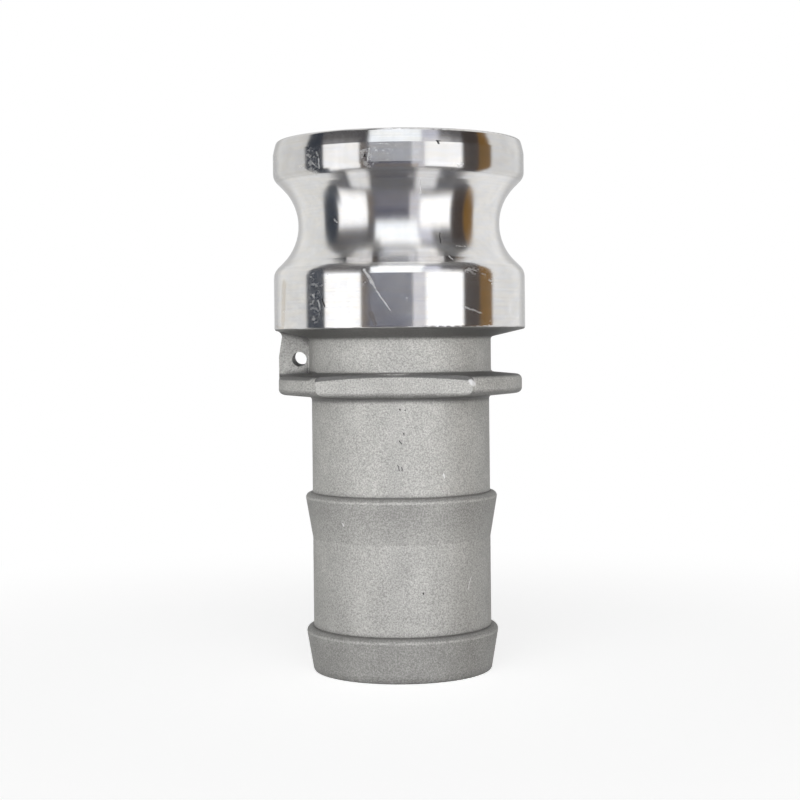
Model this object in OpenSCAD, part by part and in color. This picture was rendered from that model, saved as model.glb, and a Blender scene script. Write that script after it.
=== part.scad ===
// Male half of a cam and groove coupling: a grooved adapter head on a hose shank.
// One aluminium casting. The head is turned bright, the rest is left as cast.
// It stands on its hose end: the origin is the middle of that end, and +Z runs up the axis.

/* [Head] */
// Diameter of the two turned lands
land_d = 53.4; // [51.5:0.1:56]
// Height of the head, from its lower edge to the sealing face
head_h = 39.9; // [38:0.1:46]
// Height of the nose above the upper land
nose_h = 2.9; // [2:0.1:3.5]
// Radius of the arc that the nose follows
nose_r = 16; // [10:0.5:30]
// Slope at which the nose sets off from the land, in degrees
nose_slope = 9; // [4:0.5:14]
// Radius on the edge between the nose and the sealing face
nose_edge_r = 0.7; // [0.3:0.1:1]
// Slope of the as-cast underside of the head, in degrees
underside_slope = 13; // [5:1:20]
// Radius on the lower edge of the head
head_edge_r = 0.6; // [0.3:0.1:1]

/* [Cam groove] */
// Diameter at the floor of the groove
groove_floor_d = 42.8; // [41.5:0.1:45]
// Radius of the groove, which the cams bear in
groove_r = 11.1; // [10:0.1:12]
// Height of the middle of the groove above the head's lower edge
groove_up = 22.2; // [21:0.1:24]
// Angle at which the curve of the groove runs out into its flanks, in degrees
groove_flank = 45; // [40:1:50]
// Radius on the upper edge of the groove
groove_upper_edge_r = 2.4; // [0.5:0.1:3]
// Radius on the lower edge of the groove
groove_lower_edge_r = 3; // [0.5:0.1:3.2]

/* [Neck and collar] */
// Diameter of the neck between the head and the collar
neck_d = 38.7; // [38.2:0.1:39.4]
// Distance from the middle of the collar up to the head's lower edge
neck_len = 11.6; // [10:0.1:16]
// Diameter of the collar
collar_d = 51.8; // [48:0.1:56]
// Thickness of the collar at its rim
collar_rim_t = 3.8; // [3:0.1:5]
// Height of the middle of the collar above the hose end
collar_z = 60.5; // [56:0.5:80]
// Draft of the collar's two faces, in degrees
collar_draft = 5.5; // [2:0.5:8]
// Radius on the edges of the collar
collar_edge_r = 1.2; // [0.6:0.1:1.3]
// Distance across the two spanner flats
flats_across = 41; // [40.6:0.1:44]
// Radius of the cast fillets beside the neck and the shank
cast_fillet_r = 0.7; // [0.3:0.1:0.8]

/* [Hose shank] */
// Diameter of the shank between its barbs
shank_d = 37.8; // [36.5:0.1:38.6]
// How far a barb stands out from the shank, before its crest is rounded
barb_rise = 1.6; // [1:0.1:2.5]
// Length of a barb, from its shoulder to where its taper meets the shank
barb_len = 9.6; // [7:0.1:12]
// Height of the end barb's shoulder above the hose end
end_barb_z = 9.45; // [6:0.05:12]
// Distance between the shoulders of the two barbs
barb_pitch = 28.3; // [16:0.1:34]
// Slope of a barb's shoulder, in degrees
shoulder_slope = 10; // [0:1:20]
// Radius on the crest of a barb
crest_r = 1; // [0.5:0.1:1.1]
// Radius on the outer edge of the hose end
end_edge_r = 0.4; // [0.2:0.1:0.8]

/* [Bore] */
// Diameter of the flow bore through the shank and the neck
bore_d = 32; // [28:0.5:34]
// Diameter of the wider bore in the head
head_bore_d = 36; // [34.5:0.5:37]
// Depth of the wider bore, from the sealing face
head_bore_depth = 28; // [20:0.5:32]
// Length of the cone that joins the two bores
bore_cone_len = 8; // [4:0.5:10]
// Size of the chamfer at both mouths of the bore
mouth_chamfer = 0.8; // [0.3:0.1:1.5]

/* [Lug] */
// Thickness of the lug beside the neck
lug_t = 5.5; // [4:0.1:9]
// How far the face of the lug lies inside the rim of the collar
lug_setback = 0.1; // [0.1:0.1:1]
// Height above the middle of the collar at which the lug starts to lean in
lug_straight_h = 6; // [4:0.1:7]
// How far the lug leans in below the head
lug_lean = 0.8; // [0.3:0.1:1.5]
// Radius of the fillet between the lug and the head
lug_head_fillet_r = 1.2; // [0.6:0.1:1.3]
// Radius of the fillets between the lug and the neck
lug_neck_fillet_r = 0.5; // [0.3:0.1:1]
// Diameter of the chain hole through the lug
lug_hole_d = 3.1; // [2:0.1:3.2]
// Distance from the axis to the middle of the chain hole
lug_hole_out = 21.3; // [21.2:0.1:22.5]
// Height of the chain hole above the middle of the collar
lug_hole_up = 5.7; // [5:0.1:6.5]
// Slope of the drilled chain hole, in degrees, which rises towards the back
lug_hole_slope = 5; // [0:1:6]

/* [Hidden] */
$fn = 144;
// How far a rounding tool or a joined shape runs past the surface it meets
spare = 0.4;

land_r = land_d / 2;
groove_floor_r = groove_floor_d / 2;
neck_r = neck_d / 2;
collar_r = collar_d / 2;
shank_r = shank_d / 2;
bore_r = bore_d / 2;
head_bore_r = head_bore_d / 2;

head_z = collar_z + neck_len;
top_z = head_z + head_h;
groove_z = head_z + groove_up;

// Points of the groove, as [radius, height]
groove_centre = [groove_floor_r + groove_r, groove_z];
flank_start_r = groove_centre.x - groove_r * cos(groove_flank);
flank_start_up = groove_r * sin(groove_flank);
groove_edge_up = flank_start_up + (land_r - flank_start_r) / tan(groove_flank);

// Middle of the nose's arc, as [radius, height]
nose_centre = [land_r - nose_r * cos(nose_slope), top_z - nose_h - nose_r * sin(nose_slope)];

// Half thickness of the collar where it meets the neck
collar_root_half = collar_rim_t / 2 + (collar_r - neck_r) * tan(collar_draft);

// The lug stays just inside the rim of the collar
lug_r = collar_r - lug_setback;
lug_top_r = lug_r - lug_lean;
lug_lean_z = collar_z + lug_straight_h;

function unit(v) = v / norm(v);

// Height of the head's underside at a radius
function underside_z(r) = head_z - (land_r - r) * tan(underside_slope);

// Half thickness of the collar at a radius outside the neck
function collar_half(r) = collar_rim_t / 2 + (collar_r - r) * tan(collar_draft);

// The sliver between a sharp corner and an arc that touches both its sides at start and end
module arc_sliver(start, corner, end, centre, r) {
    start_out = unit(start - centre) * spare;
    end_out = unit(end - centre) * spare;
    difference() {
        polygon([start, start + start_out, corner + start_out + end_out, end + end_out, end]);
        translate(centre) circle(r);
    }
}

// The same for a corner between two straight sides, which run towards before and after.
// Added it fills an inner corner, and taken away it rounds an outer one.
module corner_sliver(before, corner, after, r) {
    u = unit(before - corner);
    v = unit(after - corner);
    half_angle = acos(u * v) / 2;
    reach = r / tan(half_angle);
    arc_sliver(corner + u * reach, corner, corner + v * reach, corner + unit(u + v) * r / sin(half_angle), r);
}

// Half section of the cam groove, which is cut into the head
module groove_section() {
    run_out = (land_r + spare - flank_start_r) / sin(groove_flank);
    step = run_out * [sin(groove_flank), cos(groove_flank)];
    upper = [flank_start_r, groove_z + flank_start_up];
    lower = [flank_start_r, groove_z - flank_start_up];
    translate(groove_centre) circle(groove_r);
    polygon([upper, upper + step, lower + [step.x, -step.y], lower]);
    upper_edge = [land_r, groove_z + groove_edge_up];
    lower_edge = [land_r, groove_z - groove_edge_up];
    corner_sliver(upper, upper_edge, [land_r, top_z], groove_upper_edge_r);
    corner_sliver(lower, lower_edge, [land_r, head_z], groove_lower_edge_r);
}

// Half section of what the nose takes off the upper land's corner
module nose_section() {
    top_up = top_z - nose_centre.y;
    corner = [nose_centre.x + sqrt(pow(nose_r, 2) - pow(top_up, 2)), top_z];
    edge_up = top_up - nose_edge_r;
    edge_centre = nose_centre + [sqrt(pow(nose_r - nose_edge_r, 2) - pow(edge_up, 2)), edge_up];
    edge_start = edge_centre + unit(edge_centre - nose_centre) * nose_edge_r;
    difference() {
        translate([nose_centre.x, top_z - nose_h]) square([nose_r + spare, nose_h + spare]);
        translate(nose_centre) circle(nose_r);
    }
    arc_sliver(edge_start, corner, [edge_centre.x, top_z], edge_centre, nose_edge_r);
}

// Half section of the head, with its lands, groove, nose and sloping underside
module head_section() {
    difference() {
        polygon([[0, underside_z(0)], [land_r, head_z], [land_r, top_z], [0, top_z]]);
        groove_section();
        nose_section();
        corner_sliver([0, underside_z(0)], [land_r, head_z], [land_r, groove_z], head_edge_r);
    }
}

// Half section of one barb, with a shoulder towards the head and a taper to the hose end
module barb_section(shoulder_z) {
    root = [shank_r, shoulder_z];
    crest = [shank_r + barb_rise, shoulder_z - barb_rise * tan(shoulder_slope)];
    toe = [shank_r, shoulder_z - barb_len];
    difference() {
        polygon([root, crest, toe, toe - [spare, 0], root - [spare, 0]]);
        corner_sliver(root, crest, toe, crest_r);
    }
}

// Half section of the shank and the neck, with the barbs and the cast fillets
module stem_section() {
    difference() {
        union() {
            square([shank_r, collar_z]);
            barb_section(end_barb_z);
            barb_section(end_barb_z + barb_pitch);
        }
        translate([0, -barb_len]) square([land_r, barb_len]);
        corner_sliver([0, 0], [end_r(), 0], [shank_r, end_barb_z], end_edge_r);
    }
    translate([0, collar_z]) square([neck_r, neck_len]);
    neck_root = [neck_r, collar_z + collar_half(neck_r)];
    shank_root = [shank_r, collar_z - collar_half(shank_r)];
    rim_top = [collar_r, collar_z + collar_rim_t / 2];
    rim_bottom = [collar_r, collar_z - collar_rim_t / 2];
    corner_sliver([neck_r, head_z], neck_root, rim_top, cast_fillet_r);
    corner_sliver([shank_r, 0], shank_root, rim_bottom, cast_fillet_r);
    corner_sliver([neck_r, collar_z], [neck_r, underside_z(neck_r)], [land_r, head_z], cast_fillet_r);
}

// Radius of the hose end, where the taper of the end barb is cut off
function end_r() = shank_r + barb_rise * max(0, barb_len - end_barb_z) / barb_len;

// Collar with two spanner flats, rounded on every edge
module collar() {
    flat_half = flats_across / 2;
    rim_half = collar_rim_t / 2;
    rim = [[collar_r, -rim_half], [collar_r, rim_half]];
    root = [[neck_r, -collar_root_half], [neck_r, collar_root_half]];
    intersection() {
        translate([0, 0, collar_z]) rotate_extrude() difference() {
            polygon([[0, -collar_root_half], root[0], rim[0], rim[1], root[1], [0, collar_root_half]]);
            corner_sliver(root[1], rim[1], rim[0], collar_edge_r);
            corner_sliver(root[0], rim[0], rim[1], collar_edge_r);
        }
        translate([-land_r, 0, collar_z]) rotate([90, 0, 90]) linear_extrude(land_d) difference() {
            translate([-flat_half, -collar_root_half]) square([flats_across, 2 * collar_root_half]);
            for (side = [-1, 1], up = [-1, 1])
                corner_sliver([0, up * collar_root_half], [side * flat_half, up * collar_root_half],
                              [side * flat_half, 0], collar_edge_r);
        }
    }
}

// Lug between the collar and the head, on the -X side, with the chain hole through it
module lug() {
    inner_r = (bore_r + neck_r) / 2;
    foot = [lug_r, lug_lean_z];
    top = [lug_top_r, underside_z(lug_top_r)];
    fillet_mid_y = lug_t / 2 + lug_neck_fillet_r;
    fillet_mid_x = -sqrt(pow(neck_r + lug_neck_fillet_r, 2) - pow(fillet_mid_y, 2));
    intersection() {
        rotate_extrude() {
            polygon([[inner_r, collar_z], [lug_r, collar_z], foot, top, top + [0, spare],
                     [inner_r, top.y + spare]]);
            corner_sliver(foot, top, [land_r, head_z], lug_head_fillet_r);
        }
        translate([0, 0, collar_z]) linear_extrude(neck_len + spare) {
            translate([-land_r, -lug_t / 2]) square([land_r - inner_r, lug_t]);
            for (side = [-1, 1]) difference() {
                translate([fillet_mid_x, min(side * lug_t / 2, side * fillet_mid_y)])
                    square([-fillet_mid_x - inner_r, lug_neck_fillet_r]);
                translate([fillet_mid_x, side * fillet_mid_y]) circle(lug_neck_fillet_r);
            }
        }
    }
}

// Chain hole, drilled across the lug with a slight slope
module lug_hole() {
    translate([-lug_hole_out, 0, collar_z + lug_hole_up]) rotate([90 + lug_hole_slope, 0, 0])
        cylinder(d = lug_hole_d, h = 4 * lug_t, center = true);
}

// Passage through the adapter, wider in the head
module bore() {
    cone_top = top_z - head_bore_depth;
    cone_bottom = cone_top - bore_cone_len;
    flare = mouth_chamfer + spare;
    rotate_extrude() polygon([
        [0, -spare], [bore_r + flare, -spare], [bore_r, mouth_chamfer],
        [bore_r, cone_bottom], [head_bore_r, cone_top],
        [head_bore_r, top_z - mouth_chamfer], [head_bore_r + flare, top_z + spare], [0, top_z + spare]
    ]);
}

module adapter_body() {
    color([0.74, 0.74, 0.72]) difference() {
        union() {
            rotate_extrude() {
                head_section();
                stem_section();
            }
            collar();
            lug();
        }
        bore();
        lug_hole();
    }
}

adapter_body();
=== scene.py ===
"""Looks of the cam and groove adapter: its finishes, its studio and its camera.

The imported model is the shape, and it is left as it is. Everything here is in metres, in the
model's frame: the adapter stands on its hose end, with +Z up the bore.
"""

from math import cos, pi, radians, sin

import bpy
from bpy.props import FloatProperty, FloatVectorProperty, PointerProperty
from mathutils import Euler, Matrix, Vector

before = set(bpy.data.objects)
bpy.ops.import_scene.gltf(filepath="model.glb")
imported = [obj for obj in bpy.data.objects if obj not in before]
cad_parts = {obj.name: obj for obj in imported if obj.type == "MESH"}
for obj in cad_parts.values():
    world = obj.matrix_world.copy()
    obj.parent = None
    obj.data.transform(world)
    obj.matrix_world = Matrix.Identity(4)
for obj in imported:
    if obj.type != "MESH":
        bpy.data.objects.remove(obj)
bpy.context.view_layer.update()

bl_info = {
    "name": "Cam and Groove Adapter",
    "version": (1, 0, 0),
    "blender": (4, 5, 0),
    "location": "View3D > Sidebar > Adapter",
    "description": "Finishes, studio and camera for a cam and groove adapter",
    "category": "Object",
}

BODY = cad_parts["adapter_body"]
MM = 0.001
TO_DEGREES = 180 / pi
WHITE = (1.0, 1.0, 1.0)

# ---------------------------------------------------------------- places on the adapter

# Each pair is a soft step, from the value where it starts to the value where it ends: radii from
# the axis, heights above the hose end, and places along X and Y.
OUTSIDE_R = (0.0182, 0.0186)
LAND_R = (0.0255, 0.0262)
GROOVE_FLOOR_R = (0.0238, 0.0226)
UPPER_LAND_Z = (0.099, 0.101)
BELOW_NOSE_Z = (0.1095, 0.1085)
BEYOND_NECK_R = (0.0199, 0.0204)
BESIDE_SHANK_R = (0.0199, 0.0195)
LUG_Z = (0.0624, 0.0634)
CLEAR_OF_LUG_X = (-0.0175, -0.0165)
COLLAR_FLAT_Y = (0.0200, 0.0204)
COLLAR_ROOT_FROM_Z = (0.0605, 0.0610)
COLLAR_ROOT_TO_Z = (0.0660, 0.0650)
COLLAR_RIM_FROM_Z = (0.06212, 0.06238)
COLLAR_RIM_TO_Z = (0.0631, 0.0627)
UNDER_COLLAR_FROM_Z = (0.0566, 0.0576)
UNDER_COLLAR_TO_Z = (0.0605, 0.0600)
ABOVE_BARBS_Z = (0.05, 0.055)
UPPER_TAPER_Z = (0.027, 0.035)
END_BARB_Z = (0.014, 0.012)
LOWER_SHANK_Z = (-0.01, 0.045)
HOSE_END_Z = (0.0, 0.002)

# The turned head starts here, above its as-cast underside. Its torn edge wanders by this depth, in
# waves of this size, and is this soft.
TURNED_FROM_Z = 0.0723
TORN_DEPTH = 0.0003
TORN_SIZE = 0.003
TORN_EDGE = (0.0, 0.0001)

# ---------------------------------------------------------------- patterns in the finishes

# How sharply a noise is split into dark and light.
WIDE_SPLIT = (0.3, 0.7)
SPLIT = (0.35, 0.65)
NARROW_SPLIT = (0.38, 0.62)

# A noise's middle value.
NOISE_MIDDLE = (0.5, 0.5, 0.5)

# Turned metal: brightness where each pattern is dark and where it is light. The lines are dark by
# the first share in the groove and by the second on the lands.
LINE_DARK = (0.985, 0.95)
LINE_LIGHT = 1.01
SMEAR_SHADE = (0.94, 1.02)
SMEAR_ROUGHNESS = (0.85, 1.15)
SMEAR_SIZE = 0.005
BAND_SIZE = 0.0011
BAND_STRETCH = (0.2, 1.0, 1.0)
BAND_WARM = (1.01, 0.99, 0.97)
BAND_COOL = (0.98, 0.98, 1.0)
# The upper land is darker, a painted shade that dims its reflections.
UPPER_LAND_PAINTED_SHADE = 0.85

# Blasted casting: brightness where each pattern is dark and where it is light, and at the two ends
# of the shank's soft steps, which paint shade low on the shank and at the hose end. A speck adds
# its share, and is this much of a grain in size.
GRAIN_SHADE = (0.72, 1.26)
PATCH_SHADE = (0.95, 1.05)
PATCH_SIZE = 0.006
# Specks are bright grains, partly painted glints.
SPECK = (0.66, 0.74)
SPECK_GLINT = 0.35
SPECK_SIZE = 0.5
LOWER_SHANK_PAINTED_SHADE = (0.82, 1.0)
HOSE_END_PAINTED_SHADE = (0.72, 1.0)
LUG_SHADE = 0.84

# Painted shade on skin that leans down, such as the barbs' tapers, by how far it leans. It is
# weaker at the foot of the upper barb's taper and fades in up it, along a line that wanders by
# this height.
UNDER_LEAN = (-0.04, -0.17)
UNDER_PAINTED_SHADE = 0.77
UNDER_FADE = (0.35, 1.0)
UNDER_WANDER = 0.008

# Colour of the painted shade on the casting. In corners it goes by the share of open air, and is
# weakened by ROOT_CORNER in the collar's root, a wide fillet.
PAINTED_SHADE_COLOUR = (0.10, 0.098, 0.098)
CORNER_AIR = (0.5, 0.82)
ROOT_CORNER = 0.35

# How much painted shade faces get that lean down or up. The step for those that lean up starts and
# ends at the first values outside the root and at the second in it, and they get this much painted
# shade on the barbs and above them.
DOWN_LEAN = (-0.2, -0.6)
DOWN_PAINTED_SHADE = 0.45
UP_LEAN_FROM = (0.12, 0.4)
UP_LEAN_TO = (0.5, 0.98)
UP_PAINTED_SHADE = (0.4, 0.85)

# How much painted shade the collar's upper rim gets, and how much painted shadow the corner
# under the collar. The rim reaches down the flats by RIM_ARC times the distance from their
# middle, squared.
RIM_PAINTED_SHADE = 0.88
RIM_ARC = 3.2
UNDER_COLLAR_PAINTED_SHADOW = 0.7

# ---------------------------------------------------------------- marks

# Marks of handling and casting: kind, then azimuth from -Y in degrees and height in millimetres of
# one end and of the other, then width in millimetres.
MARKS = (
    ("nick", -8.6, 107.87, -9.5, 105.5, 0.13),
    ("pit", -10.7, 106.71, -10.5, 106.31, 0.19),
    ("nick", -34.2, 107.85, -33.7, 107.03, 0.17),
    ("nick", -33.2, 106.41, -32.9, 104.59, 0.21),
    ("nick", -36.9, 105.72, -34.6, 104.84, 0.17),
    ("pit", 20.9, 109.17, 21.3, 108.74, 0.19),
    ("pit", 20.2, 109.2, 22.0, 109.27, 0.11),
    ("stain", -5.8, 104.44, 11.7, 104.42, 0.43),
    ("nick", -11.5, 83.77, -9.3, 82.29, 0.26),
    ("nick", -9.7, 82.49, -7.8, 81.19, 0.32),
    ("nick", -7.8, 81.19, -5.0, 78.71, 0.15),
    ("nick", -5.0, 78.71, 0.4, 75.41, 0.11),
    ("stain", -8.6, 75.35, -6.9, 72.96, 0.47),
    ("nick", -37.4, 79.09, -36.5, 78.48, 0.19),
    ("nick", -34.2, 78.06, -33.1, 76.24, 0.19),
    ("pit", -31.9, 78.24, -30.6, 76.63, 0.15),
    ("nick", 33.5, 83.72, 35.8, 83.59, 0.19),
    ("nick", 36.3, 83.91, 38.7, 83.56, 0.17),
    ("nick", 33.5, 76.2, 38.3, 75.51, 0.19),
    ("nick", 38.3, 75.51, 42.1, 74.94, 0.15),
    ("nick", 47.1, 81.64, 49.7, 81.58, 0.19),
    ("nick", 48.3, 82.06, 48.4, 81.05, 0.15),
    ("stain", -59.5, 81.5, -61.5, 73.6, 1.3),
    ("stain", -73.0, 73.0, -61.1, 72.42, 0.34),
    ("pit", 25.9, 91.4, 25.2, 89.34, 0.11),
    ("nick", 27.9, 86.44, 28.7, 85.82, 0.17),
    ("nick", 33.9, 88.68, 39.4, 88.67, 0.13),
    ("nick", -34.3, 94.37, -32.2, 93.93, 0.17),
    ("nick", 14.1, 102.0, 14.9, 99.11, 0.11),
    ("pit", 3.1, 55.77, 3.2, 55.69, 0.28),
    ("pit", 6.3, 55.59, 6.4, 55.51, 0.19),
    ("pit", 5.4, 50.87, 5.5, 50.79, 0.19),
    ("pit", 2.9, 49.35, 3.8, 48.85, 0.17),
    ("pit", 1.7, 44.3, 2.7, 43.5, 0.12),
    ("pit", 3.9, 44.0, 4.4, 43.3, 0.13),
    ("pit", 16.5, 18.39, 16.7, 18.23, 0.24),
    # Chips are bared metal, partly painted highlights where an edge catches the light.
    ("chip_and_glint", 30.9, 42.31, 31.3, 41.81, 0.3),
    ("chip_and_glint", 37.3, 61.3, 38.6, 60.7, 0.55),
    ("chip_and_glint", 52.4, 20.8, 49.4, 18.4, 0.14),
    ("chip_and_glint", -34.1, 32.3, -33.8, 32.0, 0.2),
    ("scuff", -38.0, 107.6, -36.5, 104.6, 1.5),
    ("scuff", -36.5, 82.5, -36.0, 74.5, 1.5),
    ("scuff", 35.0, 83.7, 43.0, 83.0, 1.0),
    ("scuff", -10.5, 107.0, -9.0, 105.0, 1.2),
)

# Radius at which the marks are laid out flat, and where a mark's edge starts and ends, in widths.
MARK_RADIUS = 0.0245
MARK_EDGE = (0.45, 1.1)

# Colours of bared metal, of the painted shade in a pit and of a stain.
NICK_COLOUR = (0.72, 0.72, 0.72)
PIT_SHADE_COLOUR = (0.03, 0.03, 0.032)
STAIN_COLOUR = (0.42, 0.35, 0.26)
STAIN_STRENGTH = 0.4
NICK_ROUGHNESS = 0.5
CHIP_ROUGHNESS = 0.35

# Share of metal gloss on the handled lands and in a nick.
LAND_METAL = 0.95
NICK_METAL = 0.75

# The marks' outlines wander by this reach, in waves of this size.
RAGGED_REACH = (0.0006, 0.0006, 0.0)
RAGGED_SIZE = 0.0008

# The marks are broken up by a fine noise, and so is the light wear all over the lands.
BROKEN_SIZE = 0.0006
BROKEN_STRETCH = (0.6, 0.6, 1.0)
NICK_BROKEN = (0.3, 0.52)
SCUFF_BROKEN = (0.42, 0.64)
SCUFF_STRENGTH = 0.5
WEAR_SIZE = 0.004
WEAR_PATCH = (0.52, 0.66)
WEAR_BROKEN = (0.62, 0.7)
WEAR_STRENGTH = 0.35

# ---------------------------------------------------------------- studio light

# Light on dull surfaces: a band near the horizon, strongest at this azimuth from the camera in
# degrees and falling off by this power of the cosine, and a weak even light from all around. The
# band's middle and half width are heights on the unit sphere.
KEY_AZIMUTH = -5.0
KEY_FOCUS = 4.5
KEY_LIGHT = 6.0
KEY_HEIGHT = 0.08
KEY_BAND = 0.5
ROOM_LIGHT = 0.04

# The floor's own light, which lifts it to the backdrop's white where nothing shades it, and the
# share of the shadow's reach at which it starts to fade.
FLOOR_LIFT = 0.78
FLOOR_FADE_FROM = 0.3

# Studio that bright metal mirrors. Azimuth runs to the right from the camera, and is bent so that
# a turned surface mirrors a panel's sides upright, at any tilt.
# Each panel: azimuth in degrees (from, to), elevation (from, to), width of the soft edge (azimuth,
# elevation) and colour. Later rows lie over earlier ones.
DARK_ROOM = (0.135, 0.13, 0.135)
PANELS = {
    "left dark strip": ((-150, -72), (-42, 42), (2, 10), (0.06, 0.07, 0.09)),
    "warm dark left": ((-36, -27), (-100, 8), (2, 6), (0.25, 0.21, 0.18)),
    "dark front": ((-27, 14), (-100, 9), (6, 4), (0.26, 0.255, 0.29)),
    "dark front low": ((-27, 14), (-14, 5), (6, 3), (0.03, 0.03, 0.08)),
    "lilac strip": ((12, 24), (-60, 12), (1.5, 6), (0.86, 0.85, 0.90)),
    "lilac top right": ((20, 37), (14, 52), (4, 6), (0.92, 0.93, 1.05)),
    "right dark": ((59, 77.5), (-44, 44), (1.5, 10), (0.085, 0.069, 0.062)),
    "amber": ((77.5, 150), (-50, 42), (1.5, 10), (0.27, 0.146, 0.04)),
    "left softbox": ((-71, -35), (-46, 18), (1.2, 6), (1.75, 1.75, 1.75)),
    "right softbox": ((23.5, 59.5), (-38, 20), (1.8, 6), (1.9, 1.9, 1.9)),
    "right softbox top": ((23, 47), (10, 25), (3, 5), (1.6, 1.6, 1.6)),
    "left softbox edge low": ((-80, -66), (-100, -24), (2, 6), (0.06, 0.07, 0.09)),
    "dark table": ((-150, 150), (-100, -50), (4, 5), (0.20, 0.20, 0.21)),
    "table left": ((-50, -29.5), (-100, -54), (3, 3), (1.10, 1.10, 1.09)),
    "table right": ((17, 39), (-100, -53), (4, 3), (1.0, 1.0, 1.0)),
    "dark ceiling": ((-150, 150), (52, 100), (4, 6), (0.27, 0.27, 0.27)),
    "ceiling left": ((-48, -29), (64, 100), (5, 8), (1.15, 1.15, 1.13)),
    "ceiling middle": ((-16, 18), (60, 100), (5, 5), (0.80, 0.82, 0.86)),
    "ceiling middle top": ((-16, 18), (79, 100), (5, 4), (2.0, 2.0, 2.0)),
    "ceiling right": ((17, 40), (62, 100), (4, 6), (1.35, 1.35, 1.35)),
    "front panel top": ((-20, 23), (44, 57), (3, 4), (1.9, 1.9, 1.9)),
    "front panel": ((-26, 21), (9.5, 47), (2, 2.5), (1.72, 1.78, 1.82)),
}

# Upright folds in the panels: their width in degrees, and their darkest and lightest.
FOLD_WIDTH = 2.5
FOLD_SHADE = (0.94, 1.06)

# The pale sweep behind the adapter: its colours on the left, on the right and straight behind, and
# the steps between them, sideways and forward on the unit sphere. It starts a little behind the
# adapter's middle, further back above and below, with a soft edge.
SWEEP_LEFT = (1.04, 1.04, 1.02)
SWEEP_RIGHT = (1.10, 1.10, 1.09)
SWEEP_FAR = (0.64, 0.64, 0.64)
SWEEP_SIDEWAYS = (-0.4, 0.4)
SWEEP_BEHIND = (-0.72, -0.93)
SWEEP_START = 0.05
SWEEP_BEND = 0.21
SWEEP_EDGE = (-0.04, 0.04)

# The camera's film width in millimetres, the picture's shift as a share of its width, and the
# nearest distance seen.
FILM_WIDTH = 36
PICTURE_SHIFT = -55 / 800
NEAREST = 0.01


# ---------------------------------------------------------------- sizes and colours


class AdapterTurned(bpy.types.PropertyGroup):
    """The bright turned head."""

    colour: FloatVectorProperty(
        name="Colour", description="Colour of the turned metal", subtype="COLOR",
        size=3, min=0, max=1, default=(0.65, 0.648, 0.645),
    )
    roughness: FloatProperty(
        name="Roughness", description="Roughness of the turned lands", default=0.158,
        min=0.02, max=1, subtype="FACTOR",
    )
    groove_roughness: FloatProperty(
        name="Groove roughness", description="Roughness of the turned groove", default=0.195,
        min=0.02, max=1, subtype="FACTOR",
    )
    flank_roughness: FloatProperty(
        name="Flank roughness", description="Roughness of the groove's turned flanks",
        default=0.13, min=0.02, max=1, subtype="FACTOR",
    )
    anisotropy: FloatProperty(
        name="Anisotropy", description="How far the turning lines spread a reflection",
        default=0.93, min=0, max=1, subtype="FACTOR",
    )
    line_pitch: FloatProperty(
        name="Line pitch", description="Spacing of the turning lines", default=0.00035,
        min=0.0001, max=0.002, subtype="DISTANCE", unit="LENGTH",
    )
    line_depth: FloatProperty(
        name="Line depth", description="Depth of the turning lines", default=0.000002,
        min=0, max=0.0001, subtype="DISTANCE", unit="LENGTH",
    )


class AdapterCast(bpy.types.PropertyGroup):
    """The shot-blasted casting."""

    colour: FloatVectorProperty(
        name="Colour", description="Colour of the casting", subtype="COLOR",
        size=3, min=0, max=1, default=(0.445, 0.44, 0.422),
    )
    roughness: FloatProperty(
        name="Roughness", description="Roughness of the casting", default=0.5,
        min=0.02, max=1, subtype="FACTOR",
    )
    metallic: FloatProperty(
        name="Metallic", description="Share of metal gloss in the dull casting", default=0.32,
        min=0, max=1, subtype="FACTOR",
    )
    # These two set the painted shade in corners: how far it reaches and how dark it is.
    recess: FloatProperty(
        name="Recess", description="Reach of the darker skin in corners", default=0.0021,
        min=0.0005, max=0.05, subtype="DISTANCE", unit="LENGTH",
    )
    corner_shade: FloatProperty(
        name="Corner shade", description="How dark the skin in corners is", default=0.95,
        min=0, max=1, subtype="FACTOR",
    )
    grain: FloatProperty(
        name="Grain", description="Size of the blasted grain", default=0.00032,
        min=0.0001, max=0.005, subtype="DISTANCE", unit="LENGTH",
    )
    grain_depth: FloatProperty(
        name="Grain depth", description="Depth of the blasted grain", default=0.00006,
        min=0, max=0.001, subtype="DISTANCE", unit="LENGTH",
    )


class AdapterStudio(bpy.types.PropertyGroup):
    """The camera, the floor and the backdrop."""

    azimuth: FloatProperty(
        name="Azimuth", description="Where the camera stands, from -Y towards +X",
        default=radians(3.7), subtype="ANGLE", unit="ROTATION",
    )
    distance: FloatProperty(
        name="Distance", description="From the camera to the adapter's axis",
        default=0.363, min=0.05, subtype="DISTANCE", unit="LENGTH",
    )
    height: FloatProperty(
        name="Height", description="Height of the camera above the floor",
        default=0.0688, subtype="DISTANCE", unit="LENGTH",
    )
    roll: FloatProperty(
        name="Roll", description="How far the camera is turned clockwise",
        default=0.0097, subtype="ANGLE", unit="ROTATION",
    )
    lens: FloatProperty(
        name="Lens", description="Focal length", default=76.5, min=10, subtype="NONE",
    )
    floor_size: FloatProperty(
        name="Floor size", description="Side of the square floor", default=6.0,
        min=1, subtype="DISTANCE", unit="LENGTH",
    )
    floor_colour: FloatVectorProperty(
        name="Floor colour", description="Colour of the pale floor", subtype="COLOR",
        size=3, min=0, max=1, default=(0.65, 0.65, 0.65),
    )
    shadow_reach: FloatProperty(
        name="Shadow reach", description="Distance at which the floor turns to backdrop",
        default=0.22, min=0.05, subtype="DISTANCE", unit="LENGTH",
    )


# ---------------------------------------------------------------- node helpers


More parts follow.
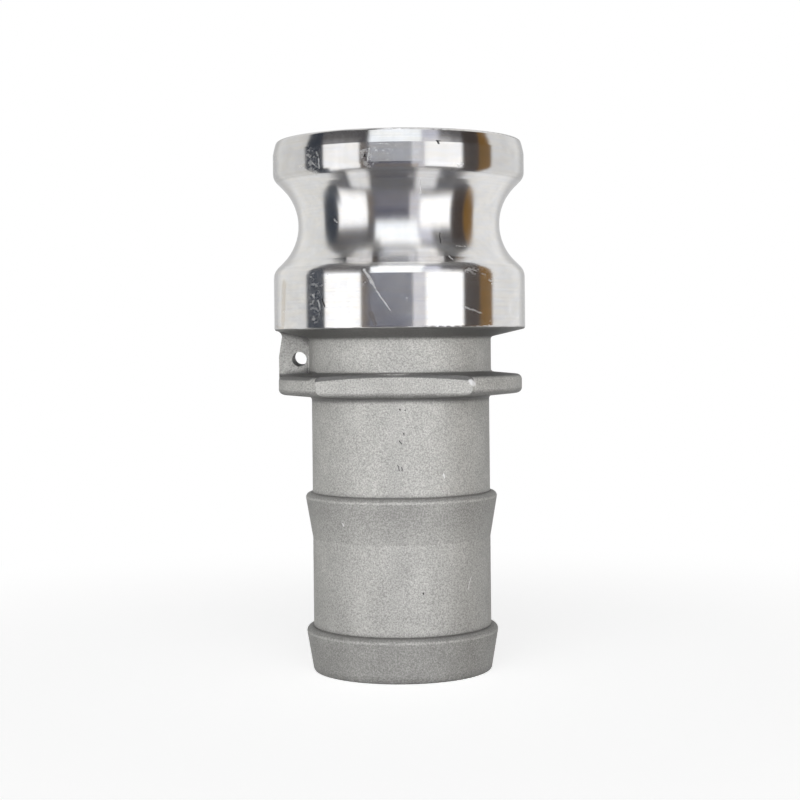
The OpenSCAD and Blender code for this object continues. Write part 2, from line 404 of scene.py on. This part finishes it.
class Tree:
    """Short ways to add and join nodes of one node tree."""

    def __init__(self, tree):
        self.tree = tree
        tree.nodes.clear()

    def add(self, kind, inputs=(), **settings):
        node = self.tree.nodes.new(kind)
        for name, value in settings.items():
            setattr(node, name, value)
        for key, value in dict(inputs).items():
            self.give(node.inputs[key], value)
        return node

    def give(self, socket, value):
        if isinstance(value, bpy.types.NodeSocket):
            self.tree.links.new(value, socket)
        else:
            socket.default_value = value

    def maths(self, operation, *values, clamp=False):
        node = self.add("ShaderNodeMath", operation=operation, use_clamp=clamp)
        for socket, value in zip(node.inputs, values):
            self.give(socket, value)
        return node.outputs[0]

    def times(self, first, *others):
        """All the numbers multiplied."""
        for other in others:
            first = self.maths("MULTIPLY", first, other)
        return first

    def vector(self, operation, *values, output=0):
        node = self.add("ShaderNodeVectorMath", operation=operation)
        for socket, value in zip(node.inputs, values):
            self.give(socket, value)
        return node.outputs[output]

    def scale(self, vector, factor):
        """A vector or colour times a number."""
        node = self.add("ShaderNodeVectorMath", {0: vector, "Scale": factor}, operation="SCALE")
        return node.outputs[0]

    def parts(self, vector):
        return self.add("ShaderNodeSeparateXYZ", {"Vector": vector}).outputs

    def join(self, **parts):
        return self.add("ShaderNodeCombineXYZ", parts).outputs[0]

    def step(self, value, low, high):
        """0 below low and 1 above high, with a smooth step between."""
        return self.add(
            "ShaderNodeMapRange",
            {"Value": value, "From Min": low, "From Max": high},
            interpolation_type="SMOOTHSTEP",
        ).outputs[0]

    def mix(self, factor, a, b):
        """Colour a where factor is 0 and b where it is 1."""
        node = self.add("ShaderNodeMix", data_type="RGBA")
        self.give(node.inputs[0], factor)
        self.give(node.inputs[6], a)
        self.give(node.inputs[7], b)
        return node.outputs[2]

    def blend(self, factor, a, b):
        """Number a where factor is 0 and b where it is 1."""
        node = self.add("ShaderNodeMix", data_type="FLOAT")
        for socket, value in zip(node.inputs[:1] + node.inputs[2:4], (factor, a, b)):
            self.give(socket, value)
        return node.outputs[0]

    def noise(self, place, size, detail=2.0, roughness=0.5, output=0):
        """Noise of about this size in metres."""
        return self.add(
            "ShaderNodeTexNoise",
            {"Vector": place, "Scale": 1 / size, "Detail": detail, "Roughness": roughness},
        ).outputs[output]


def opaque(colour):
    return (*colour, 1.0)


def tinted(colour, tint):
    return opaque(c * share for c, share in zip(colour, tint))


# ---------------------------------------------------------------- finishes


def mark_group():
    """Node group: 1 within Width of the line that starts at Start and runs along Span."""
    group = bpy.data.node_groups.new("mark", "ShaderNodeTree")
    t = Tree(group)
    for name in ("Place", "Start", "Span", "Share"):
        group.interface.new_socket(name, in_out="INPUT", socket_type="NodeSocketVector")
    group.interface.new_socket("Width", in_out="INPUT", socket_type="NodeSocketFloat")
    group.interface.new_socket("Mask", in_out="OUTPUT", socket_type="NodeSocketFloat")
    place, start, span, share, width, _ = t.add("NodeGroupInput").outputs
    offset = t.vector("SUBTRACT", place, start)
    along = t.maths("ADD", t.vector("DOT_PRODUCT", offset, share, output=1), 0.0, clamp=True)
    nearest = t.scale(span, along)
    far = t.vector("DISTANCE", offset, nearest, output=1)
    far = t.maths("DIVIDE", far, width)
    mask = t.maths("SUBTRACT", 1.0, t.step(far, *MARK_EDGE))
    t.add("NodeGroupOutput", {0: mask})
    return group


def marks(t, group, flat, kind):
    """Where the listed marks of this kind are, from 0 to 1."""
    found = 0.0
    for mark, from_az, from_z, to_az, to_z, width in MARKS:
        if mark != kind:
            continue
        start = Vector((radians(from_az) * MARK_RADIUS, from_z * MM, 0))
        span = Vector((radians(to_az) * MARK_RADIUS, to_z * MM, 0)) - start
        node = t.add(
            "ShaderNodeGroup",
            {
                "Place": flat, "Start": start, "Span": span,
                "Share": span / span.length_squared, "Width": width * MM,
            },
            node_tree=group,
        )
        found = t.maths("ADD", found, node.outputs[0], clamp=True)
    return found


def turned_skin(t, turned, place, flat, out_r, land, z, nick, pit, stain):
    """Colour, roughness and relief of the turned metal."""
    lines = t.noise(t.join(Z=z), turned.line_pitch, detail=3)
    bands = t.noise(t.vector("MULTIPLY", flat, BAND_STRETCH), BAND_SIZE, detail=3)
    smears = t.noise(place, SMEAR_SIZE, detail=5, roughness=0.6)
    warm = tinted(turned.colour, BAND_WARM)
    cool = tinted(turned.colour, BAND_COOL)
    colour = t.mix(t.step(bands, *NARROW_SPLIT), warm, cool)
    shade = t.blend(t.step(lines, *SPLIT), t.blend(land, *LINE_DARK), LINE_LIGHT)
    shade = t.times(shade, t.blend(t.step(smears, *SPLIT), *SMEAR_SHADE))
    # Painted shade that dims the upper land's reflections.
    upper_land = t.times(land, t.step(z, *UPPER_LAND_Z))
    shade = t.times(shade, t.blend(upper_land, 1.0, UPPER_LAND_PAINTED_SHADE))
    colour = t.scale(colour, shade)
    floor = t.step(out_r, *GROOVE_FLOOR_R)
    rough = t.blend(floor, turned.flank_roughness, turned.groove_roughness)
    rough = t.blend(land, rough, turned.roughness)
    rough = t.times(rough, t.blend(smears, *SMEAR_ROUGHNESS))
    colour = t.mix(t.times(stain, STAIN_STRENGTH), colour, opaque(STAIN_COLOUR))
    colour = t.mix(nick, colour, opaque(NICK_COLOUR))
    # Painted shade in the pits.
    colour = t.mix(pit, colour, opaque(PIT_SHADE_COLOUR))
    rough = t.blend(nick, rough, NICK_ROUGHNESS)
    return colour, rough, t.times(lines, turned.line_depth / MM)


def cast_tone(t, cast, grain, patches, place, out_r, z, lean):
    """Brightness of the casting's skin, with painted shade on parts of it and glints in its
    specks.
    """
    fine = t.noise(place, cast.grain * SPECK_SIZE, detail=1)
    tone = t.blend(t.step(grain, *WIDE_SPLIT), *GRAIN_SHADE)
    tone = t.times(tone, t.blend(t.step(patches, *SPLIT), *PATCH_SHADE))
    # Bright specks, partly painted glints.
    tone = t.maths("MULTIPLY_ADD", t.step(fine, *SPECK), SPECK_GLINT, tone)
    # Painted shade low on the shank and at the hose end.
    tone = t.times(tone, t.blend(t.step(z, *LOWER_SHANK_Z), *LOWER_SHANK_PAINTED_SHADE))
    tone = t.times(tone, t.blend(t.step(z, *HOSE_END_Z), *HOSE_END_PAINTED_SHADE))
    lug = t.times(t.step(out_r, *BEYOND_NECK_R), t.step(z, *LUG_Z))
    tone = t.times(tone, t.blend(lug, 1.0, LUG_SHADE))
    # Painted shade on skin that leans down.
    lowered = t.maths("SUBTRACT", z, UNDER_WANDER / 2)
    wander = t.maths("MULTIPLY_ADD", patches, UNDER_WANDER, lowered)
    fade = t.blend(t.step(wander, *UPPER_TAPER_Z), *UNDER_FADE)
    fade = t.maths("MAXIMUM", fade, t.step(z, *END_BARB_Z))
    under = t.times(t.step(lean, *UNDER_LEAN), fade)
    return t.times(tone, t.blend(under, 1.0, UNDER_PAINTED_SHADE))


def cast_painted_shade(t, cast, place, out_r, z, lean):
    """Painted shade on the casting from 0 to 1: corners, leaning faces, collar rim and under it.
    """
    x, y, _ = t.parts(place)
    air = t.add(
        "ShaderNodeAmbientOcclusion", {"Distance": cast.recess}, samples=8, only_local=True
    )
    # Painted shade in corners, by the share of open air.
    corner = t.maths("SUBTRACT", 1.0, t.step(air.outputs["AO"], *CORNER_AIR))
    root = t.times(
        t.step(z, *COLLAR_ROOT_FROM_Z), t.step(z, *COLLAR_ROOT_TO_Z), t.step(x, *CLEAR_OF_LUG_X)
    )
    corner = t.times(corner, t.blend(root, 1.0, ROOT_CORNER))
    # Painted shade on faces that lean down or up.
    down = t.times(t.step(lean, *DOWN_LEAN), DOWN_PAINTED_SHADE)
    up = t.step(lean, t.blend(root, *UP_LEAN_FROM), t.blend(root, *UP_LEAN_TO))
    up = t.times(up, t.blend(t.step(z, *ABOVE_BARBS_Z), *UP_PAINTED_SHADE))
    # Painted shade on the collar's upper rim.
    on_flat = t.step(t.maths("ABSOLUTE", y), *COLLAR_FLAT_Y)
    arc = t.maths("MULTIPLY_ADD", t.times(x, x, on_flat), RIM_ARC, z)
    rim = t.times(
        t.step(arc, *COLLAR_RIM_FROM_Z), t.step(z, *COLLAR_RIM_TO_Z),
        t.step(out_r, *BEYOND_NECK_R), RIM_PAINTED_SHADE,
    )
    up = t.maths("MAXIMUM", up, rim)
    # Painted shadow in the corner under the collar.
    under_collar = t.times(
        t.step(z, *UNDER_COLLAR_FROM_Z), t.step(out_r, *BESIDE_SHANK_R),
        t.step(z, *UNDER_COLLAR_TO_Z), UNDER_COLLAR_PAINTED_SHADOW,
    )
    down = t.maths("MAXIMUM", down, under_collar)
    return t.maths("MAXIMUM", t.maths("ADD", down, up), t.times(corner, cast.corner_shade))


def cast_skin(t, cast, place, out_r, z, pit, chip_and_glint):
    """Colour, roughness and relief of the shot-blasted casting."""
    grain = t.noise(place, cast.grain, detail=2, roughness=0.7)
    patches = t.noise(place, PATCH_SIZE, detail=3)
    lean = t.parts(t.add("ShaderNodeNewGeometry").outputs["Normal"])[2]
    tone = cast_tone(t, cast, grain, patches, place, out_r, z, lean)
    colour = t.scale(cast.colour, tone)
    dull = cast_painted_shade(t, cast, place, out_r, z, lean)
    # Painted shade: corners, leaning faces, the collar's rim and under the collar.
    colour = t.mix(dull, colour, opaque(PAINTED_SHADE_COLOUR))
    # Painted shade in the pits.
    colour = t.mix(pit, colour, opaque(PIT_SHADE_COLOUR))
    # Chips: bared metal, partly painted highlights.
    colour = t.mix(chip_and_glint, colour, opaque(NICK_COLOUR))
    relief = t.times(grain, cast.grain_depth / MM)
    return colour, t.blend(chip_and_glint, cast.roughness, CHIP_ROUGHNESS), relief


def metal_material(turned, cast):
    """One material for the casting: turned bright above TURNED_FROM_Z, blasted below it."""
    material = bpy.data.materials.new("cast_aluminium")
    material.use_nodes = True
    t = Tree(material.node_tree)
    place = t.add("ShaderNodeTexCoord").outputs["Object"]
    x, y, z = t.parts(place)
    out_r = t.vector("LENGTH", t.vector("MULTIPLY", place, (1.0, 1.0, 0.0)), output=1)
    around = t.maths("ARCTAN2", x, t.times(y, -1.0))
    flat = t.join(X=t.times(around, MARK_RADIUS), Y=z)
    waves = t.noise(place, RAGGED_SIZE, detail=2, output=1)
    waves = t.vector("MULTIPLY", t.vector("SUBTRACT", waves, NOISE_MIDDLE), RAGGED_REACH)
    ragged = t.vector("ADD", flat, waves)
    group = mark_group()
    nick, pit, stain, chip_and_glint, scuff = (
        marks(t, group, ragged, kind) for kind in ("nick", "pit", "stain", "chip_and_glint", "scuff")
    )
    land = t.step(out_r, *LAND_R)
    broken = t.noise(t.vector("MULTIPLY", place, BROKEN_STRETCH), BROKEN_SIZE, detail=1)
    nick = t.times(nick, t.step(broken, *NICK_BROKEN))
    wear = t.step(t.noise(place, WEAR_SIZE, detail=2), *WEAR_PATCH)
    wear = t.times(wear, WEAR_STRENGTH, t.step(broken, *WEAR_BROKEN), land)
    nick = t.maths("MAXIMUM", nick, wear)
    scuff = t.times(scuff, t.step(broken, *SCUFF_BROKEN), SCUFF_STRENGTH)
    nick = t.maths("MAXIMUM", nick, scuff)

    outside = t.step(out_r, *OUTSIDE_R)
    torn = t.noise(place, TORN_SIZE, detail=2)
    torn = t.maths("MULTIPLY_ADD", torn, TORN_DEPTH, TURNED_FROM_Z - TORN_DEPTH / 2)
    bright = t.times(t.step(t.maths("SUBTRACT", z, torn), *TORN_EDGE), outside)

    bright_colour, bright_rough, bright_relief = turned_skin(
        t, turned, place, flat, out_r, land, z, nick, pit, stain
    )
    dull_colour, dull_rough, dull_relief = cast_skin(t, cast, place, out_r, z, pit, chip_and_glint)
    relief = t.blend(bright, dull_relief, bright_relief)
    bump = t.add("ShaderNodeBump", {"Height": relief, "Distance": MM, "Strength": 1.0})
    tangent = t.add("ShaderNodeTangent", direction_type="RADIAL", axis="Z")
    handled = t.times(land, t.step(z, *BELOW_NOSE_Z))
    metal = t.blend(nick, t.blend(handled, 1.0, LAND_METAL), NICK_METAL)
    shader = t.add(
        "ShaderNodeBsdfPrincipled",
        {
            "Base Color": t.mix(bright, dull_colour, bright_colour),
            "Roughness": t.blend(bright, dull_rough, bright_rough),
            "Metallic": t.maths("MAXIMUM", t.times(bright, metal), cast.metallic),
            "Anisotropic": t.times(bright, turned.anisotropy),
            "Specular IOR Level": 0.2,
            "Anisotropic Rotation": 0.25,
            "Tangent": tangent.outputs[0],
            "Normal": bump.outputs[0],
        },
    )
    t.add("ShaderNodeOutputMaterial", {"Surface": shader.outputs[0]})
    return material


class ADAPTER_OT_finish(bpy.types.Operator):
    """Give the adapter its turned and cast finishes"""

    bl_idname = "adapter.finish"
    bl_label = "Finish the Adapter"

    def execute(self, context):
        scene = context.scene
        BODY.material_slots[0].material = metal_material(
            scene.adapter_turned, scene.adapter_cast
        )
        return {"FINISHED"}


# ---------------------------------------------------------------- studio


def panel_mask(t, azimuth, elevation, spans, soft):
    """1 inside the panel's spans of azimuth and elevation, with soft edges."""
    sides = []
    for angle, (low, high), edge in zip((azimuth, elevation), spans, soft):
        sides.append(t.step(angle, low - edge, low + edge))
        sides.append(t.maths("SUBTRACT", 1.0, t.step(angle, high - edge, high + edge)))
    return t.times(*sides)


def mirrored_studio(t, bent, sideways, forward, z):
    """The panels in front and the pale sweep behind."""
    elevation = t.times(t.maths("ARCSINE", z), TO_DEGREES)
    room = opaque(DARK_ROOM)
    for spans_az, spans_el, soft, colour in PANELS.values():
        mask = panel_mask(t, bent, elevation, (spans_az, spans_el), soft)
        room = t.mix(mask, room, opaque(colour))
    folds = t.noise(t.join(X=bent), FOLD_WIDTH, detail=2)
    room = t.scale(room, t.blend(t.step(folds, *WIDE_SPLIT), *FOLD_SHADE))
    right = t.step(sideways, *SWEEP_SIDEWAYS)
    sweep = t.mix(right, opaque(SWEEP_LEFT), opaque(SWEEP_RIGHT))
    sweep = t.mix(t.step(forward, *SWEEP_BEHIND), sweep, opaque(SWEEP_FAR))
    depth = t.maths("MULTIPLY_ADD", t.times(z, z), SWEEP_BEND, SWEEP_START)
    depth = t.maths("ADD", depth, forward)
    return t.mix(t.step(depth, *SWEEP_EDGE), sweep, room)


def dull_light(t, azimuth, z):
    """Light that falls on dull surfaces."""
    facing = t.maths("COSINE", t.maths("SUBTRACT", azimuth, radians(KEY_AZIMUTH)))
    facing = t.maths("POWER", t.maths("MAXIMUM", facing, 0.0), KEY_FOCUS)
    off = t.maths("DIVIDE", t.maths("SUBTRACT", z, KEY_HEIGHT), KEY_BAND)
    band = t.maths("MAXIMUM", t.maths("SUBTRACT", 1.0, t.times(off, off)), 0.0)
    return t.maths("MULTIPLY_ADD", t.times(facing, band), KEY_LIGHT, ROOM_LIGHT)


def studio_world(studio):
    """White for the camera, the panels and the sweep for reflections, soft light for the rest."""
    world = bpy.data.worlds.new("studio")
    world.use_nodes = True
    world.cycles.sampling_method = "NONE"
    t = Tree(world.node_tree)
    way = t.add("ShaderNodeTexCoord").outputs["Generated"]
    x, y, z = t.parts(way)
    azimuth = t.maths("ARCTAN2", x, t.times(y, -1.0))
    azimuth = t.maths("SUBTRACT", azimuth, studio.azimuth)
    right = Vector((cos(studio.azimuth), sin(studio.azimuth), 0))
    front = Vector((sin(studio.azimuth), -cos(studio.azimuth), 0))
    sideways = t.vector("DOT_PRODUCT", way, right, output=1)
    forward = t.vector("DOT_PRODUCT", way, front, output=1)
    bent = t.maths("ARCTAN2", sideways, t.maths("ADD", forward, 1.0))
    bent = t.times(bent, 2 * TO_DEGREES)
    rays = t.add("ShaderNodeLightPath")
    light = mirrored_studio(t, bent, sideways, forward, z)
    light = t.mix(rays.outputs["Is Camera Ray"], light, opaque(WHITE))
    light = t.mix(rays.outputs["Is Diffuse Ray"], light, dull_light(t, azimuth, z))
    back = t.add("ShaderNodeBackground", {"Color": light, "Strength": 1.0})
    t.add("ShaderNodeOutputWorld", {"Surface": back.outputs[0]})
    return world


def floor_material(studio):
    """Pale floor that keeps the shadow and runs out into the white backdrop."""
    material = bpy.data.materials.new("pale_floor")
    material.use_nodes = True
    t = Tree(material.node_tree)
    place = t.add("ShaderNodeTexCoord").outputs["Object"]
    far = t.vector("LENGTH", place, output=1)
    fade = t.step(far, studio.shadow_reach * FLOOR_FADE_FROM, studio.shadow_reach)
    dull = t.add("ShaderNodeBsdfDiffuse", {"Color": opaque(studio.floor_colour)})
    lift = t.add("ShaderNodeEmission", {"Color": opaque(WHITE), "Strength": FLOOR_LIFT})
    near = t.add("ShaderNodeAddShader", {0: dull.outputs[0], 1: lift.outputs[0]})
    white = t.add("ShaderNodeEmission", {"Color": opaque(WHITE), "Strength": 1.0})
    shader = t.add("ShaderNodeMixShader", {0: fade, 1: near.outputs[0], 2: white.outputs[0]})
    t.add("ShaderNodeOutputMaterial", {"Surface": shader.outputs[0]})
    return material


class ADAPTER_OT_stage(bpy.types.Operator):
    """Lay the pale floor and light the studio"""

    bl_idname = "adapter.stage"
    bl_label = "Set the Stage"

    def execute(self, context):
        studio = context.scene.adapter_studio
        bpy.ops.object.select_all(action="DESELECT")
        bpy.ops.mesh.primitive_plane_add(size=studio.floor_size, location=(0, 0, 0))
        floor = context.object
        floor.name = "floor"
        floor.data.materials.append(floor_material(studio))
        floor.visible_glossy = False
        floor.visible_diffuse = False
        context.scene.world = studio_world(studio)
        context.scene.view_settings.view_transform = "Standard"
        return {"FINISHED"}


class ADAPTER_OT_camera(bpy.types.Operator):
    """Place the camera in front of the adapter"""

    bl_idname = "adapter.camera"
    bl_label = "Place the Camera"

    def execute(self, context):
        studio = context.scene.adapter_studio
        data = bpy.data.cameras.new("camera")
        data.sensor_width = FILM_WIDTH
        data.lens = studio.lens
        data.shift_y = PICTURE_SHIFT
        data.clip_start = NEAREST
        camera = bpy.data.objects.new("camera", data)
        context.scene.collection.objects.link(camera)
        place = Vector((sin(studio.azimuth), -cos(studio.azimuth), 0)) * studio.distance
        place.z = studio.height
        turn = Euler((pi / 2, 0, studio.azimuth)).to_matrix().to_4x4()
        roll = Matrix.Rotation(-studio.roll, 4, "Z")
        camera.matrix_world = Matrix.Translation(place) @ turn @ roll
        context.scene.camera = camera
        return {"FINISHED"}


class ADAPTER_PT_panel(bpy.types.Panel):
    """The adapter's steps, in the sidebar"""

    bl_label = "Cam and Groove Adapter"
    bl_idname = "ADAPTER_PT_panel"
    bl_space_type = "VIEW_3D"
    bl_region_type = "UI"
    bl_category = "Adapter"

    def draw(self, context):
        for operator in OPERATORS:
            self.layout.operator(operator.bl_idname)


OPERATORS = (ADAPTER_OT_camera, ADAPTER_OT_finish, ADAPTER_OT_stage)
GROUPS = {
    "adapter_turned": AdapterTurned,
    "adapter_cast": AdapterCast,
    "adapter_studio": AdapterStudio,
}


def register():
    for cls in (*GROUPS.values(), *OPERATORS, ADAPTER_PT_panel):
        bpy.utils.register_class(cls)
    for name, group in GROUPS.items():
        setattr(bpy.types.Scene, name, PointerProperty(type=group))


def unregister():
    for name in GROUPS:
        delattr(bpy.types.Scene, name)
    for cls in (ADAPTER_PT_panel, *OPERATORS[::-1], *GROUPS.values()):
        bpy.utils.unregister_class(cls)


def main():
    register()
    bpy.ops.adapter.camera()
    bpy.ops.adapter.finish()
    bpy.ops.adapter.stage()


if __name__ == "__main__":
    main()
